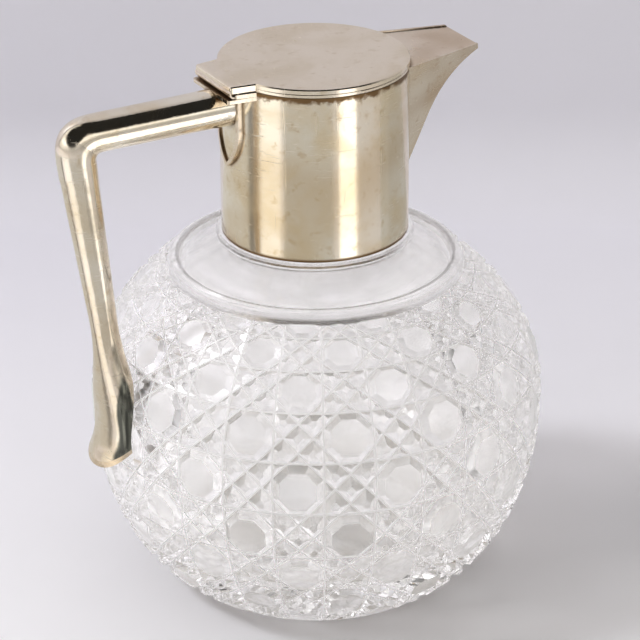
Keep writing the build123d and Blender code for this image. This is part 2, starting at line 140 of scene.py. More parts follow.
# Under the cutting: out from the body's radius at the base, height, and how far a ray of the star rises.
FOOT_OUTLINE = ((0.2, 0.7, 0), (-0.6, 0.0, 0), (-6.0, 0.0, 0), (-6.6, 0.4, 0), (-8.0, 0.5, 1.9))
STAR_MIDDLE = (6.0, 1.4, 2.6)      # radius, height and rise
STAR_POLE_Z = 3.2
STAR = (0.186, 0.5, 0.772, 1.228, 1.5, 1.814)   # rays under the base, in columns, every second one raised

CUT, GROOVE, INSIDE, STEPPED = range(4)         # the glass body's material slots
SHARP_ANGLE = math.radians(16)


def superellipse(along, reach, height, power):
    """Height of a superellipse over a place on its base line, which it meets at the reach."""
    return height * (1 - (along / reach) ** power) ** (1 / power)


def body_radius(z):
    """Radius of the envelope, the smooth body that the cutting goes into."""
    rise = z - EQUATOR_Z
    if rise > 0:
        return superellipse(rise, UPPER_HALF, BODY_R, UPPER_POWER)
    return superellipse(-rise, LOWER_HALF, BODY_R, LOWER_POWER)


def shoulder_height(r):
    """Height of the envelope's upper half at a radius."""
    return EQUATOR_Z + superellipse(r, BODY_R, UPPER_HALF, UPPER_POWER)


def body_normal(z):
    """Outward normal of the envelope at a height, as (radial, upward)."""
    step = 0.05
    run = (body_radius(z + step) - body_radius(z - step)) / (2 * step)
    length = math.hypot(1, run)
    return 1 / length, -run / length


GROOVE_Z = shoulder_height(GROOVE_R) - GROOVE_DEPTH
RING_TOP_Z = shoulder_height(RING_TOP_R)
BEAD_Z = RING_TOP_Z + BEAD_RISE
COLLAR_Z = BEAD_Z + COLLAR_RISE
NECK_TOP_Z = COLLAR_Z + NECK_HEIGHT


# ---------------------------------------------------------------- glass: one button, one diamond
def clip(polygon, a, b, c):
    """The part of a polygon where a*x + b*y <= c; a third coordinate is carried along."""
    kept = []
    for i, p in enumerate(polygon):
        q = polygon[(i + 1) % len(polygon)]
        dp = a * p[0] + b * p[1] - c
        dq = a * q[0] + b * q[1] - c
        if dp <= TINY:
            kept.append(p)
        if (dp < -TINY and dq > TINY) or (dp > TINY and dq < -TINY):
            share = dp / (dp - dq)
            kept.append(tuple(here + (there - here) * share for here, there in zip(p, q)))
    return kept if len(kept) > 2 else []


def cell_facets(lines):
    """Facets of one cut cell of a site, bounded by lines (a, b, c) with a*x + b*y <= c.

    A groove runs along each edge: the cell keeps a flat table in its middle, then come the
    grooves' walls and their narrow bottoms. A facet is its kind and its corners (x, y, depth).
    """
    cell = [(x * HALF_SITE, y * HALF_SITE) for x, y in ((-1, -1), (1, -1), (1, 1), (-1, 1))]
    for line in lines:
        cell = clip(cell, *line)
    edges = list(lines)
    for a, b in SIDES:
        touching = [p for p in cell if abs(a * p[0] + b * p[1] - HALF_SITE) < CLOSE]
        if len(touching) > 1:
            edges.append((a, b, HALF_SITE))
    edges = [(a / math.hypot(a, b), b / math.hypot(a, b), c / math.hypot(a, b)) for a, b, c in edges]

    def depth(x, y):
        inside = min(c - a * x - b * y for a, b, c in edges)
        up_the_wall = (inside - CUT_FLOOR) / (CUT_HALF - CUT_FLOOR)
        return -CUT_DEPTH * (1 - min(1.0, max(0.0, up_the_wall)))

    table = cell
    for a, b, c in edges:
        table = clip(table, a, b, c - CUT_HALF)
    facets = [("table", table)]
    for i, (a, b, c) in enumerate(edges):
        nearest = cell
        for j, (a2, b2, c2) in enumerate(edges):
            if j != i:
                nearest = clip(nearest, a2 - a, b2 - b, c2 - c)
        wall = clip(clip(nearest, -a, -b, CUT_HALF - c), a, b, c - CUT_FLOOR)
        bottom = clip(nearest, -a, -b, CUT_FLOOR - c)
        facets += [("wall", wall), ("bottom", bottom)]
    return [(kind, [(x, y, depth(x, y)) for x, y in polygon]) for kind, polygon in facets if polygon]


def button_site():
    """Cells round a button: the octagon and its four corner triangles."""
    facets = cell_facets([(x, y, OCTAGON) for x, y in CORNERS])
    for x, y in CORNERS:
        facets += cell_facets([(-x, -y, -OCTAGON)])
    return facets


def diamond_site():
    """Cells between buttons: a diamond, four edge triangles and four corner pieces."""
    facets = cell_facets([(x, y, DIAMOND) for x, y in CORNERS])
    for x in (1, -1):
        facets += cell_facets([(-x, 1, -DIAMOND), (-x, -1, -DIAMOND)])
    for y in (1, -1):
        facets += cell_facets([(1, -y, -DIAMOND), (-1, -y, -DIAMOND)])
    for x, y in CORNERS:
        facets += cell_facets([(-x, -y, -DIAMOND), (x, -y, DIAMOND), (-x, y, DIAMOND)])
    return facets


# ---------------------------------------------------------------- glass: whole body
def row_height(row):
    """Height at a row number, by a smooth curve through the measured rows."""
    rows = sorted(ROW_HEIGHTS)
    heights = [ROW_HEIGHTS[measured] for measured in rows]
    last = len(rows) - 1
    if row <= rows[0]:
        up = rows[0] - row
        return heights[0] + (heights[0] - heights[1]) * TOP_ROW_SHRINK * up - TOP_ROW_BEND * up * up
    if row >= rows[last]:
        return heights[last] - (heights[last - 1] - heights[last]) * FOOT_ROW_SHRINK * (row - rows[last])
    i = min(math.floor(row) - rows[0], last - 1)
    share = row - rows[i]

    def slope_at(k):
        before = max(k - 1, 0)
        after = min(k + 1, last)
        return (heights[after] - heights[before]) / (after - before)

    start = (2 * share ** 3 - 3 * share ** 2 + 1) * heights[i]
    start_slope = (share ** 3 - 2 * share ** 2 + share) * slope_at(i)
    end = (-2 * share ** 3 + 3 * share ** 2) * heights[i + 1]
    end_slope = (share ** 3 - share ** 2) * slope_at(i + 1)
    return start + start_slope + end + end_slope


def row_of(z):
    """Row number at a height, by halving."""
    above, below = ROWS_SOUGHT
    for _ in range(ROW_HALVINGS):
        middle = (above + below) / 2
        if row_height(middle) > z:
            above = middle
        else:
            below = middle
    return (above + below) / 2


def ring_section():
    """Groove, ring and step, as (radius, height, material of the face that ends there)."""
    points = [(GROOVE_R + GROOVE_LIP[0], GROOVE_Z + GROOVE_LIP[1], CUT), (GROOVE_R, GROOVE_Z, CUT)]
    run = RING_TOP_R - GROOVE_R
    climb = RING_TOP_Z - GROOVE_Z
    along = math.hypot(run, climb)
    for i in range(1, RING_STEPS + 1):
        share = i / RING_STEPS
        bulge = RING_BULGE * math.sin(math.pi * share) ** RING_ROUND
        r = GROOVE_R + run * share + climb / along * bulge
        z = GROOVE_Z + climb * share - run / along * bulge
        # the ring's last face and the step get the grey glass, a painted dark line
        points.append((r, z, STEPPED if i == RING_STEPS else CUT))
    points.append((RING_TOP_R - STEP_IN, RING_TOP_Z - STEP_DEPTH * STEP_FOOT, STEPPED))
    return points


def neck_section():
    """Plain shoulder, bead and neck up to the bore, as (radius, height, material)."""
    outline = []
    start_z = RING_TOP_Z - STEP_DEPTH
    for i in range(1, SHOULDER_STEPS + 1):
        share = i / SHOULDER_STEPS
        r = RING_TOP_R + (BEAD_R + BEAD_FOOT[0] - RING_TOP_R) * share
        z = start_z + (BEAD_Z + BEAD_FOOT[1] - start_z) * share - SHOULDER_DIP * math.sin(math.pi * share)
        outline.append((r, z))
    outline += [(BEAD_R + out, BEAD_Z + up) for out, up in BEAD_LOWER]
    outline += [(BEAD_R + out, COLLAR_Z + up) for out, up in BEAD_UPPER]
    outline += [(NECK_R, COLLAR_Z - COLLAR_GAP), (NECK_R, NECK_TOP_Z - NECK_EDGE),
                (NECK_R - NECK_EDGE, NECK_TOP_Z), (BORE_R + NECK_EDGE, NECK_TOP_Z)]
    return [(r, z, CUT) for r, z in outline]


def cavity_section():
    """Bore and cavity down to the floor, as (radius, height, material)."""
    outline = [(BORE_R, NECK_TOP_Z - NECK_EDGE)]
    cavity_r = BODY_R - WALL
    bore_turn = math.asin(BORE_R / cavity_r)
    for i in range(CAVITY_UPPER_STEPS):
        r = cavity_r * math.sin(bore_turn + (math.pi / 2 - bore_turn) * i / CAVITY_UPPER_STEPS)
        outline.append((r, EQUATOR_Z + superellipse(r, cavity_r, UPPER_HALF - WALL, UPPER_POWER)))
    for i in range(CAVITY_LOWER_STEPS):
        r = cavity_r * math.sin(math.pi / 2 * (1 - i / CAVITY_LOWER_STEPS))
        outline.append((r, EQUATOR_Z - superellipse(r, cavity_r, EQUATOR_Z - CAVITY_FLOOR_Z, CAVITY_POWER)))
    return [(r, z, INSIDE) for r, z in outline]


def star_ray(column):
    """0 or 1 by turns round the star under the base, where the cutting above it has its edges."""
    return min(range(len(STAR)), key=lambda k: abs((column - STAR[k] + 1) % 2 - 1)) % 2


class GlassBody:
    """Mesh of the body: the facets of the cutting, welded, and the turned surfaces round them."""

    def __init__(self):
        self.mesh = bmesh.new()
        self.welded = {}
        self.top_row = row_of(PATTERN_TOP_Z)
        self.foot_row = row_of(PATTERN_FOOT_Z)
        self.top_loop = {}
        self.foot_loop = {}

    def vertex(self, column, r, z):
        """New vertex at a column's bearing."""
        angle = COLUMN_START + column * COLUMN_STEP
        return self.mesh.verts.new((r * math.cos(angle) * MM, r * math.sin(angle) * MM, z * MM))

    def cut_vertex(self, column, row, depth):
        """Vertex of the cutting; facets that meet at a place share it."""
        turn = column % COLUMNS
        if turn > COLUMNS - CLOSE:
            turn = 0.0
        key = (round(turn, 5), round(row, 5), round(depth, 4))
        if key not in self.welded:
            z = row_height(row)
            r = body_radius(z)
            out, up = body_normal(z)
            floor_painted_glow = depth * r * COLUMN_STEP
            self.welded[key] = self.vertex(column, r + out * floor_painted_glow, z + up * floor_painted_glow)
        return self.welded[key]

    def face(self, corners, material):
        """New face, smooth as far as the sharp edges round it."""
        made = self.mesh.faces.new(corners)
        made.material_index = material
        made.smooth = True

    def cut_facet(self, kind, polygon):
        """One facet; a table is a fan of triangles, so that its middle is on the envelope."""
        corners = []
        for column, row, depth in polygon:
            vertex = self.cut_vertex(column, row, depth)
            if vertex not in corners:
                corners.append(vertex)
            for edge_row, loop in ((self.top_row, self.top_loop), (self.foot_row, self.foot_loop)):
                if abs(row - edge_row) < CLOSE:
                    loop[round(column % COLUMNS, 5) % COLUMNS] = vertex
        if len(corners) < 3:
            return
        if kind == "table":
            centre = self.cut_vertex(*(sum(values) / len(polygon) for values in zip(*polygon)))
            for i, vertex in enumerate(corners):
                self.face((vertex, corners[(i + 1) % len(corners)], centre), CUT)
        else:
            self.face(corners, GROOVE if kind == "bottom" else CUT)

    def cutting(self):
        """The pattern, cut off straight at its top and its foot."""
        sites = (button_site(), diamond_site())
        for row in range(math.floor(self.top_row - HALF_SITE), math.ceil(self.foot_row + HALF_SITE) + 1):
            for column in range(COLUMNS):
                for kind, facet in sites[(column + row) % 2]:
                    polygon = [(column + x, row + y, depth) for x, y, depth in facet]
                    polygon = clip(clip(polygon, 0, -1, -self.top_row), 0, 1, self.foot_row)
                    if polygon:
                        self.cut_facet(kind, polygon)

    def turned(self, loop, section, pole_z):
        """Turned surface from the cutting's edge to the axis, by (radius, height, a ray's rise, material)."""
        columns = sorted(loop)
        ring = [loop[column] for column in columns]
        for r, z, rise, material in section:
            following = [self.vertex(column, r, z + rise * star_ray(column)) for column in columns]
            for i in range(len(ring)):
                j = (i + 1) % len(ring)
                self.face((ring[i], ring[j], following[j], following[i]), material)
            ring = following
        pole = self.mesh.verts.new((0, 0, pole_z * MM))
        for i in range(len(ring)):
            self.face((ring[i], ring[(i + 1) % len(ring)], pole), material)

    def finished(self):
        """The whole body as an object."""
        self.cutting()
        above = ring_section() + neck_section() + cavity_section()
        self.turned(self.top_loop, [(r, z, 0, material) for r, z, material in above], CAVITY_FLOOR_Z)
        base_r = body_radius(0.0)
        below = [(base_r + out, z, rise, CUT) for out, z, rise in FOOT_OUTLINE]
        self.turned(self.foot_loop, below + [(*STAR_MIDDLE, CUT)], STAR_POLE_Z)
        bmesh.ops.recalc_face_normals(self.mesh, faces=self.mesh.faces)
        data = bpy.data.meshes.new("cut_glass_body")
        self.mesh.to_mesh(data)
        self.mesh.free()
        data.set_sharp_from_angle(angle=SHARP_ANGLE)
        return new_object("cut_glass_body", data)


# ---------------------------------------------------------------- node helpers
class Maker:
    """Short calls to build a material's nodes."""

    def __init__(self, name):
        self.owner = bpy.data.materials.new(name)
        self.start("ShaderNodeOutputMaterial")

    def start(self, output_kind):
        self.owner.use_nodes = True
        self.tree = self.owner.node_tree
        self.tree.nodes.clear()
        self.output = self.tree.nodes.new(output_kind)

    def node(self, kind, settings=None, **inputs):
        """Node with inputs by their names, with _ for a space, or by their places: i0, i1 and so on."""
        made = self.tree.nodes.new("ShaderNode" + kind)
        for key, value in (settings or {}).items():
            setattr(made, key, value)
        for key, value in inputs.items():
            by_place = key[0] == "i" and key[1:].isdigit()
            socket = made.inputs[int(key[1:]) if by_place else key.replace("_", " ")]
            if isinstance(value, bpy.types.NodeSocket):
                self.tree.links.new(value, socket)
            else:
                socket.default_value = value
        return made

    def math(self, operation, a, b=0.0):
        return self.node("Math", {"operation": operation}, i0=a, i1=b).outputs[0]

    def ramp(self, value, low, high, to_low=0.0, to_high=1.0):
        """Smooth step from one value at low to another at high, which may be the lesser of the two."""
        made = self.node("MapRange", {"clamp": True, "interpolation_type": "SMOOTHSTEP"}, Value=value,
                         From_Min=low, From_Max=high, To_Min=to_low, To_Max=to_high)
        return made.outputs[0]

    def mix(self, share, a, b):
        """Colour a where the share is 0, b where it is 1."""
        return self.node("Mix", {"data_type": "RGBA"}, i0=share, i6=a, i7=b).outputs[2]

    def level(self, share, a, b):
        """Number a where the share is 0, b where it is 1."""
        kept = self.math("MULTIPLY", a, self.math("SUBTRACT", 1.0, share))
        return self.math("ADD", kept, self.math("MULTIPLY", share, b))

    def spread(self, value, reach):
        """A noise value as a shift to both sides of zero."""
        return self.math("MULTIPLY", self.math("SUBTRACT", value, 0.5), reach)

    def noise(self, vector, scale, detail=2.0, roughness=0.5, distortion=0.0):
        made = self.node("TexNoise", Vector=vector, Scale=scale, Detail=detail, Roughness=roughness,
                         Distortion=distortion)
        return made.outputs[0]

    def stretched_noise(self, vector, scales, detail=2.0, roughness=0.5, distortion=0.0):
        """Noise with a scale of its own along each axis."""
        mapped = self.node("Mapping", Vector=vector, Scale=scales).outputs[0]
        return self.noise(mapped, 1.0, detail, roughness, distortion)

    def place(self):
        return self.node("TexCoord").outputs["Object"]

    def height(self, vector):
        return self.node("SeparateXYZ", Vector=vector).outputs["Z"]

    def along(self, vector, axis):
        """How far a vector reaches along an axis of the photograph's frame."""
        unit = tuple(from_view(*axis).normalized())
        return self.node("VectorMath", {"operation": "DOT_PRODUCT"}, i0=vector, i1=unit).outputs["Value"]

    def finish(self, shader):
        self.tree.links.new(shader.outputs[0], self.output.inputs["Surface"])
        return self.owner


# ---------------------------------------------------------------- glass materials
GLASS_IOR = 1.52
GLASS_CLEAR = colour(1.0, 1.0, 0.995)
STEP_PAINTED_DARK = colour(0.36, 0.35, 0.34)      # painted dark line: the grey of the ring's inner edge and step stands in for the dark reflection along it
FROST = colour(0.95, 0.95, 0.95)
# painted light: the frosted bottoms of the grooves glow a little, to stand in for the light they scatter
FROST_PAINTED_GLOW = colour(1.0, 0.99, 0.97)
FROST_PAINTED_GLOW_STRENGTH = 0.22
SHADOW_DIM = colour(0.76, 0.75, 0.74)       # light that goes through to the shadow, in streaks
SHADOW_CLEAR = colour(0.96, 0.96, 0.95)


def glass_material(name, tint, roughness, wave_scale, wave_mm, frost=0.0):
    """Clear glass; light that makes the shadow passes straight through, dimmed in streaks."""
    m = Maker(name)
    place = m.place()
    waves = m.noise(place, wave_scale)
    bump = m.node("Bump", Strength=1.0, Distance=wave_mm * MM, Height=waves).outputs[0]
    surface = m.node("BsdfPrincipled", Base_Color=tint, Roughness=roughness, IOR=GLASS_IOR,
                     Transmission_Weight=1.0, Normal=bump)
    if frost:
        ground = m.node("BsdfDiffuse", Color=FROST)
        thin = m.node("BsdfTranslucent", Color=FROST)
        matt = m.node("MixShader", i0=0.5, i1=ground.outputs[0], i2=thin.outputs[0])
        # painted light: a faint glow on the frosted groove bottoms
        frost_painted_glow = m.node("Emission", Color=FROST_PAINTED_GLOW, Strength=FROST_PAINTED_GLOW_STRENGTH)
        matt = m.node("AddShader", i0=matt.outputs[0], i1=frost_painted_glow.outputs[0])
        surface = m.node("MixShader", i0=frost, i1=surface.outputs[0], i2=matt.outputs[0])
    streaks = m.stretched_noise(place, (22.0, 22.0, 60.0), detail=3.0, roughness=0.6, distortion=0.8)
    clear = m.node("BsdfTransparent", Color=m.mix(m.ramp(streaks, 0.50, 0.66), SHADOW_DIM, SHADOW_CLEAR))
    path = m.node("LightPath").outputs
    passing = m.math("MAXIMUM", path["Is Shadow Ray"], path["Is Diffuse Ray"])
    return m.finish(m.node("MixShader", i0=passing, i1=surface.outputs[0], i2=clear.outputs[0]))


# ---------------------------------------------------------------- silver
# brown of the tarnish in the corners; the collar's foot gets it as a painted shadow line and its brim as a
# darker band
GRIME_AND_SHADE = colour(0.20, 0.12, 0.055)
GRIME_REACH = 2.2 * MM                      # from a corner
GRIME_SAMPLES = 6
BRIM_DARK_BAND = (2.4 * MM, 0.8 * MM)           # darker band down from the collar's brim, where it starts and is full
BRIM_UNEVEN = 6.0 * MM
FOOT_SHADOW_LINE = (1.3 * MM, 0.4 * MM)           # painted shadow line up from its foot, along the seam with the glass: where it starts and is full
SOCKET_Z = 80.0 * MM                        # the painted dark reflection on the handle's socket goes up to about here
SOCKET_FADE = (10.0 * MM, -6.0 * MM)        # from there to where it ends and to where it is full
SOCKET_ABOVE = -0.48                        # how much less sideways a face counts over the socket
SOCKET_SIDES = (0.50, 0.60)                 # how far sideways a face is turned where it starts and is full
SOCKET_TILT = 0.3                           # what a turn up or down counts of a turn sideways
SOCKET_INWARDS = (0.42, 0.26)               # how far to the body where it ends and is full
SOCKET_EDGE = 0.12                          # how uneven its edge is
# the painted dark reflection's black and grey streaks
SOCKET_BLACK = colour(0.07, 0.07, 0.06)
SOCKET_GREY = colour(0.22, 0.22, 0.18)
DENT_DEPTH = 0.22 * MM
PIT_DEPTH = 0.06 * MM
SCRATCH_DEPTH = 0.03 * MM

# The silver's tones: where it is bright, in its warm clouds and in its stains.
LID_TONES = (colour(0.89, 0.79, 0.64), colour(0.81, 0.70, 0.53), colour(0.66, 0.53, 0.35))
COLLAR_TONES = (colour(0.84, 0.76, 0.62), colour(0.76, 0.63, 0.43), colour(0.60, 0.45, 0.26))
UPPER_ARM_TONES = (colour(0.88, 0.82, 0.70), colour(0.80, 0.70, 0.54), colour(0.68, 0.55, 0.38))
LOWER_ARM_TONES = (colour(0.82, 0.74, 0.62), colour(0.76, 0.65, 0.49), colour(0.64, 0.51, 0.34))
WORN_TONES = (colour(0.82, 0.71, 0.57), colour(0.73, 0.59, 0.42), colour(0.54, 0.39, 0.25))


def darker_collar_ends(m, place, speckle, ends):
    """Painted shadow line over the collar's foot, along the seam with the glass, and, with an uneven edge, a
    darker band under its brim.
    """
    foot, brim = ends
    height = m.height(place)
    uneven = m.math("ADD", height, m.spread(speckle, BRIM_UNEVEN))
    under_brim = m.ramp(uneven, brim - BRIM_DARK_BAND[0], brim - BRIM_DARK_BAND[1])
    over_foot = m.ramp(height, foot + FOOT_SHADOW_LINE[0], foot + FOOT_SHADOW_LINE[1])
    return m.math("MAXIMUM", over_foot, under_brim)


def socket_painted_reflection(m, place, clouds, tone):
    """Painted dark reflection: black and grey streaks on the sides of the handle's socket, by the way they
    face, but not where they face the body.
    """
    facing = m.node("SeparateXYZ", Vector=m.node("NewGeometry").outputs["Normal"]).outputs
    tilt = m.math("MULTIPLY", m.math("ABSOLUTE", facing["Z"]), SOCKET_TILT)
    sideways = m.math("ADD", m.math("ABSOLUTE", facing["Y"]), tilt)
    above = m.ramp(m.height(place), SOCKET_Z + SOCKET_FADE[0], SOCKET_Z + SOCKET_FADE[1], SOCKET_ABOVE, 0.0)
    reach = m.math("ADD", m.math("ADD", sideways, above), m.spread(clouds, SOCKET_EDGE))
    black = m.math("MULTIPLY", m.ramp(reach, *SOCKET_SIDES), m.ramp(facing["X"], *SOCKET_INWARDS))
    streaks = m.ramp(m.stretched_noise(place, (900.0, 900.0, 40.0)), 0.35, 0.75)
    return m.mix(black, tone, m.mix(streaks, SOCKET_BLACK, SOCKET_GREY))


def silver_material(name, tones, rough, wear, ends=None, socket=False):
    """Worn silver: cloudy yellow tarnish, brown in the corners, fine scratches and shallow dents; with ends,
    a painted shadow line at the collar's foot and a darker band under its brim; with socket, a painted dark
    reflection on the socket's sides.
    """
    bright, warm, stain = tones
    m = Maker(name)
    place = m.place()
    clouds = m.noise(place, 42.0, detail=4.0, roughness=0.62, distortion=0.4)
    patches = m.noise(place, 15.0, distortion=0.6)
    speckle = m.noise(place, 260.0, detail=3.0, roughness=0.65)
    tone = m.mix(m.ramp(clouds, 0.40, 0.66), bright, warm)
    tone = m.mix(m.ramp(patches, 0.50, 0.70, 0.0, 0.85), tone, stain)
    tone = m.mix(m.ramp(speckle, 0.56, 0.74, 0.0, 0.6), tone, stain)
    corner = m.node("AmbientOcclusion", {"samples": GRIME_SAMPLES}, Distance=GRIME_REACH).outputs["AO"]
    grime_and_shade = m.math("MULTIPLY", m.ramp(corner, 0.90, 0.45), m.ramp(clouds, 0.30, 0.60, 0.55, 1.0))
    # painted shadow line at the collar's foot, and the darker band under its brim
    if ends:
        grime_and_shade = m.math("MAXIMUM", grime_and_shade, darker_collar_ends(m, place, speckle, ends))
    tone = m.mix(grime_and_shade, tone, GRIME_AND_SHADE)
    # painted dark reflection on the sides of the handle's socket
    if socket:
        tone = socket_painted_reflection(m, place, clouds, tone)
    across = m.stretched_noise(place, (90.0, 90.0, 1500.0), roughness=0.7)
    along = m.stretched_noise(place, (1300.0, 700.0, 60.0), roughness=0.7)
    scratch = m.math("MAXIMUM", m.ramp(across, 0.62, 0.74), m.ramp(along, 0.64, 0.76))
    smear = m.ramp(clouds, 0.35, 0.75, rough, rough + 0.10)
    roughness = m.math("ADD", smear, m.math("MULTIPLY", scratch, 0.22 * wear))
    roughness = m.math("ADD", roughness, m.math("MULTIPLY", grime_and_shade, 0.25))
    dents = m.node("Bump", Strength=1.0, Distance=DENT_DEPTH, Height=m.noise(place, 24.0, detail=1.0))
    pits = m.node("Bump", Strength=0.5 * wear, Distance=PIT_DEPTH, Height=speckle, Normal=dents.outputs[0])
    fine = m.node("Bump", Strength=0.4 * wear, Distance=SCRATCH_DEPTH, Height=scratch,
                  Normal=pits.outputs[0])
    return m.finish(m.node("BsdfPrincipled", Base_Color=tone, Metallic=1.0, Roughness=roughness,
                           Normal=fine.outputs[0]))


# ---------------------------------------------------------------- plaster
PLASTER_PALE = colour(0.82, 0.79, 0.72)
PLASTER_STAIN = colour(0.62, 0.56, 0.46)


def plaster_material():
    """Matt, grainy and unevenly stained."""
    m = Maker("setting_plaster")
    place = m.place()
    grain = m.noise(place, 900.0, detail=4.0, roughness=0.7)
    stain = m.noise(place, 70.0, detail=3.0)
    tone = m.mix(m.ramp(stain, 0.4, 0.7), PLASTER_PALE, PLASTER_STAIN)
    bump = m.node("Bump", Strength=0.6, Distance=0.2 * MM, Height=grain).outputs[0]
    return m.finish(m.node("BsdfPrincipled", Base_Color=tone, Roughness=0.85, Normal=bump))


# ---------------------------------------------------------------- stage: metres, in the photograph's frame
# the paper's tones: the faint lavender behind is its colour; paler near the front and, behind, towards the
# right is painted light
PAPER_NEAR = colour(0.97, 0.965, 0.965)
PAPER_FAR = colour(0.78, 0.77, 0.81)
PAPER_FAR_RIGHT = colour(0.87, 0.86, 0.90)
FADE_AWAY = (-0.12, 0.30)          # from the near tone to the far one
FADE_ACROSS = (-0.16, 0.16)        # from the far tone to the one on the right
PAPER_GRAIN = colour(0.5, 0.5, 0.5)
PAPER_GRAIN_SHARE = 0.015
PAPER_THROUGH = 0.22               # painted light: the floor glows this much for rays through the glass, so the glass shows it brighter
PAPER_THROUGH_TINT = colour(1.0, 0.95, 0.86)
SWEEP_SIDE = 3.0
SWEEP_FRONT = -3.0
SWEEP_BACK = 0.31                  # the backdrop stands this far behind the jug
SWEEP_TOP = 2.2
SWEEP_R = 0.04
SWEEP_STEPS = 12
SWEEP_DROP = 0.0002                # the paper lies this far under the base


def stage_material():
    """Matt paper, faintly lavender behind; paler towards the front and, behind, towards the right, as painted
    light; clear from its back.
    """
    m = Maker("sweep_paper")
    place = m.place()
    # painted light: the paper gets paler towards the front and, behind, towards the right
    behind = m.mix(m.ramp(m.along(place, (1, 0, 0)), *FADE_ACROSS), PAPER_FAR, PAPER_FAR_RIGHT)
    tint = m.mix(m.ramp(m.along(place, (0, 1, 0)), *FADE_AWAY), PAPER_NEAR, behind)
    grain = m.ramp(m.noise(place, 30.0), 0.3, 0.7, 0.0, PAPER_GRAIN_SHARE)
    paper = m.node("BsdfDiffuse", Color=m.mix(grain, tint, PAPER_GRAIN))
    path = m.node("LightPath").outputs
    # painted light: the floor glows for rays through the glass
    through = m.math("MULTIPLY", path["Is Transmission Ray"], PAPER_THROUGH)
    floor_painted_glow = m.node("Emission", Color=PAPER_THROUGH_TINT, Strength=through)
    face = m.node("AddShader", i0=paper.outputs[0], i1=floor_painted_glow.outputs[0])
    back = m.node("NewGeometry").outputs["Backfacing"]
    unseen = m.math("MULTIPLY", back, path["Is Camera Ray"])
    clear = m.node("BsdfTransparent")
    return m.finish(m.node("MixShader", i0=unseen, i1=face.outputs[0], i2=clear.outputs[0]))


def build_stage():
    """Floor that rises into a backdrop behind the jug, square to the photograph's view."""
    outline = [(SWEEP_FRONT, 0.0), (SWEEP_BACK - SWEEP_R, 0.0)]
    for i in range(1, SWEEP_STEPS + 1):
        turn = math.pi / 2 * i / SWEEP_STEPS
        y = SWEEP_BACK - SWEEP_R + SWEEP_R * math.sin(turn)
        outline.append((y, SWEEP_R - SWEEP_R * math.cos(turn)))
    outline.append((SWEEP_BACK, SWEEP_TOP))
    points = [from_view(x, y, z - SWEEP_DROP) for y, z in outline for x in (-SWEEP_SIDE, SWEEP_SIDE)]
    faces = [(2 * i, 2 * i + 1, 2 * i + 3, 2 * i + 2) for i in range(len(outline) - 1)]
    data = bpy.data.meshes.new("sweep")
    data.from_pydata(points, [], faces)
    for polygon in data.polygons:
        polygon.use_smooth = True
    data.materials.append(stage_material())
    new_object("sweep", data)


# ---------------------------------------------------------------- light
KEY_AT = (-1.05, -0.15, 1.15)
KEY_TOWARDS = (0, 0, 0.08)
KEY_SIZE = 0.30
KEY_POWER = 12.0
KEY_TINT = (0.96, 0.95, 1.0)

# Sectors of the floor round the jug that only polished surfaces reflect: from and to a bearing in
# degrees, counted from the camera's side towards the right, and the level.
CARDS = ((-66, -40, 1.35), (-84, -76, 0.28), (-150, -84, 0.70), (29, 50, 1.9), (84, 98, 0.56),
         (98, 150, 0.50), (-36, 22, 0.60))
CARD_NEAR = 0.10
CARD_FAR = 0.55
CARD_Z = 0.0008
CARD_STEPS = 6
CARD_TINT = colour(1.0, 1.0, 1.0)

WORLD_TINT = colour(1.0, 0.98, 0.955)
WORLD_LEVEL = 0.47                 # light on diffuse surfaces
GLASS_LEFT = 1.05                  # what glass shows of the room, to the left and to the right
GLASS_RIGHT = 0.80
GLASS_DARK = 0.12                  # and of its dark part
METAL_ROOM = 0.62                  # what polished metal shows of the room
METAL_FRONT = 1.35                 # of the bright strip in front
METAL_LEFT = 0.45                  # how much more it shows on the left
METAL_DARK = 0.02                  # and what metal shows of the dark parts
DARK_TOWARDS = (0.628, -0.026, 0.778)      # middle of the room's dark part
DARK_CONE = (39, 48)                       # degrees from it where it is fully dark and where it ends
BEHIND_CAMERA = (-0.20, -0.68, 0.70)       # and of the part behind the camera, which metal shows
BEHIND_CAMERA_CONE = (37, 45)

# The room's other parts: how far a direction goes along an axis where a part ends and where it is full.
STRIP_TOP = (0.46, 0.36)           # up
STRIP_FOOT = (0.02, 0.22)          # up
STRIP_SIDES = (-0.10, 0.25)        # towards the camera's side
LEFT_PART = (-0.25, -0.75)         # to the right, so under zero on the left
GLASS_ACROSS = (-0.7, 0.8)         # to the right, from the left level to the right one
FAR_SIDES = (0.90, 0.95)           # to the right or to the left, dark in the glass

GLASS_BOUNCES = 32                 # light goes through many faces of the cutting
METAL_BOUNCES = 16


def build_key_light():
    """Soft lamp from the left that draws the jug's shadow; no surface mirrors it."""
    data = bpy.data.lights.new("key", "AREA")
    data.shape = "RECTANGLE"
    data.size = KEY_SIZE
    data.size_y = KEY_SIZE
    data.energy = KEY_POWER
    data.color = KEY_TINT
    lamp = new_object("key", data)
    lamp.location = from_view(*KEY_AT)
    lamp.rotation_mode = "QUATERNION"
    lamp.rotation_quaternion = (from_view(*KEY_TOWARDS) - from_view(*KEY_AT)).to_track_quat("-Z", "Y")
    lamp.visible_glossy = False


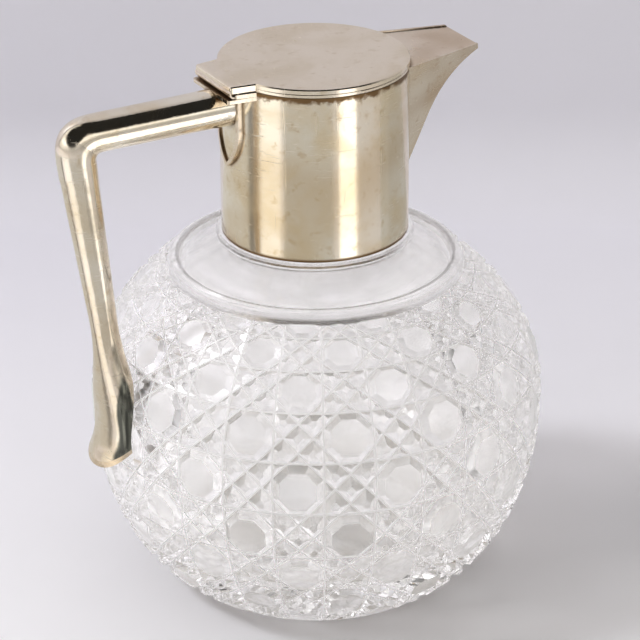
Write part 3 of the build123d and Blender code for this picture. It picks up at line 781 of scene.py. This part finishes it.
def build_card(start, end, level):
    """One lit sector of the floor, seen by glossy rays alone."""
    name = f"card_{start}"
    points = []
    for distance in (CARD_NEAR, CARD_FAR):
        for i in range(CARD_STEPS + 1):
            bearing = math.radians(start + (end - start) * i / CARD_STEPS)
            points.append(from_view(math.sin(bearing) * distance, -math.cos(bearing) * distance, CARD_Z))
    faces = [(i, i + 1, CARD_STEPS + 2 + i, CARD_STEPS + 1 + i) for i in range(CARD_STEPS)]
    data = bpy.data.meshes.new(name)
    data.from_pydata(points, [], faces)
    card = new_object(name, data)
    m = Maker(name)
    data.materials.append(m.finish(m.node("Emission", Color=CARD_TINT, Strength=level)))
    card.visible_camera = False
    card.visible_diffuse = False
    card.visible_transmission = False
    card.visible_shadow = False


class WorldMaker(Maker):
    """The same calls for the world's nodes."""

    def __init__(self, name):
        self.owner = bpy.data.worlds.new(name)
        bpy.context.scene.world = self.owner
        self.start("ShaderNodeOutputWorld")


def build_world():
    """Even pale light on matt surfaces; glass and metal also see the room's bright and dark parts."""
    m = WorldMaker("studio")
    direction = m.node("TexCoord").outputs["Generated"]
    height = m.height(direction)
    right = m.along(direction, (1, 0, 0))
    front = m.along(direction, (0, -1, 0))

    def cone(middle, full, gone):
        return m.ramp(m.along(direction, middle), math.cos(math.radians(gone)), math.cos(math.radians(full)))

    dark = cone(DARK_TOWARDS, *DARK_CONE)
    strip = m.math("MULTIPLY", m.ramp(height, *STRIP_TOP), m.ramp(front, *STRIP_SIDES))
    strip = m.math("MULTIPLY", strip, m.ramp(height, *STRIP_FOOT))
    metal = m.ramp(strip, 0.0, 1.0, METAL_ROOM, METAL_FRONT)
    metal = m.math("ADD", metal, m.ramp(right, *LEFT_PART, 0.0, METAL_LEFT))
    metal = m.level(m.math("MAXIMUM", dark, cone(BEHIND_CAMERA, *BEHIND_CAMERA_CONE)), metal, METAL_DARK)
    glass = m.ramp(right, *GLASS_ACROSS, GLASS_LEFT, GLASS_RIGHT)
    far_sides = m.ramp(m.math("ABSOLUTE", right), *FAR_SIDES)
    glass = m.level(m.math("MAXIMUM", dark, far_sides), glass, GLASS_DARK)
    path = m.node("LightPath").outputs
    level = m.level(path["Is Glossy Ray"], WORLD_LEVEL, metal)
    level = m.level(path["Is Transmission Ray"], level, glass)
    m.finish(m.node("Background", Color=WORLD_TINT, Strength=level))


# ---------------------------------------------------------------- camera
def build_camera():
    """Camera of the photograph: the yaw turns it to the right, the pitch down."""
    data = bpy.data.cameras.new("view")
    data.sensor_width = SENSOR_MM
    data.lens = FOCAL_PIXELS / PICTURE_PIXELS * SENSOR_MM
    data.clip_start = CAMERA_NEAR
    data.clip_end = CAMERA_FAR
    ahead = Vector((math.sin(CAMERA_YAW) * math.cos(CAMERA_PITCH),
                    math.cos(CAMERA_YAW) * math.cos(CAMERA_PITCH), -math.sin(CAMERA_PITCH)))
    right = Vector((math.cos(CAMERA_YAW), -math.sin(CAMERA_YAW), 0))
    up = right.cross(ahead)
    rolled_right = math.cos(CAMERA_ROLL) * right + math.sin(CAMERA_ROLL) * up
    rolled_up = -math.sin(CAMERA_ROLL) * right + math.cos(CAMERA_ROLL) * up
    axes = [from_view(*axis) for axis in (rolled_right, rolled_up, -ahead)]
    camera = new_object("view", data)
    camera.matrix_world = Matrix.Translation(from_view(*CAMERA_AT)) @ Matrix(axes).transposed().to_4x4()
    bpy.context.scene.camera = camera


# ---------------------------------------------------------------- put together
build_camera()
build_stage()
build_world()
build_key_light()
for card in CARDS:
    build_card(*card)
cycles = bpy.context.scene.cycles
cycles.max_bounces = GLASS_BOUNCES
cycles.transmission_bounces = GLASS_BOUNCES
cycles.glossy_bounces = METAL_BOUNCES
cycles.transparent_max_bounces = GLASS_BOUNCES
bpy.context.scene.view_settings.view_transform = "Standard"

glass = GlassBody().finished()
glass_finishes = {
    CUT: glass_material("glass_cut", GLASS_CLEAR, roughness=0.0, wave_scale=60.0, wave_mm=0.02),
    GROOVE: glass_material("glass_groove", GLASS_CLEAR, roughness=0.3, wave_scale=400.0, wave_mm=0.02,
                           frost=0.8),
    INSIDE: glass_material("glass_inside", GLASS_CLEAR, roughness=0.22, wave_scale=30.0, wave_mm=0.12),
    # painted dark line along the ring's inner edge
    STEPPED: glass_material("glass_step", STEP_PAINTED_DARK, roughness=0.05, wave_scale=200.0, wave_mm=0.02),
}
for slot in sorted(glass_finishes):
    glass.data.materials.append(glass_finishes[slot])
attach(glass, "jug")
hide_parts("glass_body")

collar_heights = [corner[2] for corner in nodes["collar_tube"].bound_box]
collar_ends = (min(collar_heights), max(collar_heights))
lid = silver_material("silver_lid", LID_TONES, rough=0.13, wear=0.8)
collar = silver_material("silver_collar", COLLAR_TONES, rough=0.12, wear=0.7, ends=collar_ends)
upper_arm = silver_material("silver_arm", UPPER_ARM_TONES, rough=0.05, wear=0.4)
lower_arm = silver_material("silver_lower_arm", LOWER_ARM_TONES, rough=0.14, wear=1.0, socket=True)
worn = silver_material("silver_worn", WORN_TONES, rough=0.17, wear=1.0)
plaster = plaster_material()
finishes = {"collar_tube": collar, "collar_mouth_ring": collar, "shield_plate": collar,
            "handle_upper_arm": upper_arm, "handle_lower_arm": lower_arm}
for node_name, node_object in nodes.items():
    if node_name.endswith("cement"):
        finish = plaster
    elif node_name.startswith("lid_"):
        finish = lid
    else:
        finish = finishes.get(node_name, worn)
    node_object.data.materials.clear()
    node_object.data.materials.append(finish)
